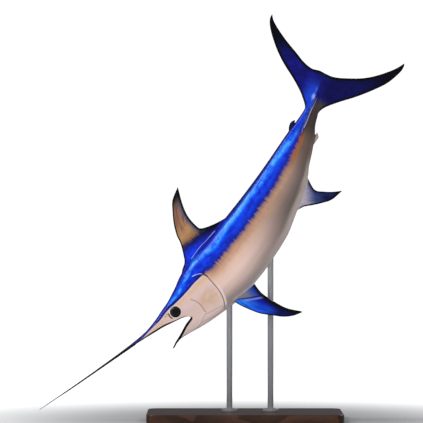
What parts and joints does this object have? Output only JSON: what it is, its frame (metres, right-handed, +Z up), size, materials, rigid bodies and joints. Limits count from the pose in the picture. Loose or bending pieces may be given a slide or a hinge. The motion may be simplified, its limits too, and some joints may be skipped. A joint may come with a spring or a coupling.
{
  "type": "swordfish model on a display stand",
  "caption": "Life-size still swordfish, head down with open mouth and spread fins, held by a flat base and two upright rods.",
  "frame": {"origin": "middle of the underside of the stand's base, on the floor", "axes": "+Z up, the bill points down towards -X, the fish's left flank faces -Y"},
  "size_m": [1.8613, 0.56, 2.0728],
  "materials": {
    "skin": "glossy painted skin, blue back and pinkish flank",
    "bill": "glossy black",
    "fin": "glossy navy fading to black edges",
    "eye": "polished black",
    "stand_wood": "dark satin varnish",
    "stand_steel": "brushed"
  },
  "bodies": {
    "root": {"bill": "bill", "head": "skin", "lower_jaw": "skin", "gill_cover_left": "skin", "gill_cover_right": "skin", "eye_left": "eye", "eye_right": "eye", "torso_front": "skin", "torso_rear": "skin", "tail_stalk": "skin", "tail_fin_upper": "fin", "tail_fin_lower": "fin", "first_dorsal_fin": "fin", "second_dorsal_fin": "fin", "first_anal_fin": "fin", "second_anal_fin": "fin", "pectoral_fin_left": "fin", "pectoral_fin_right": "fin", "stand_base": "stand_wood", "stand_rod_front": "stand_steel", "stand_rod_rear": "stand_steel", "stand_collar_front": "stand_steel", "stand_collar_rear": "stand_steel"}
  },
  "joints": []
}
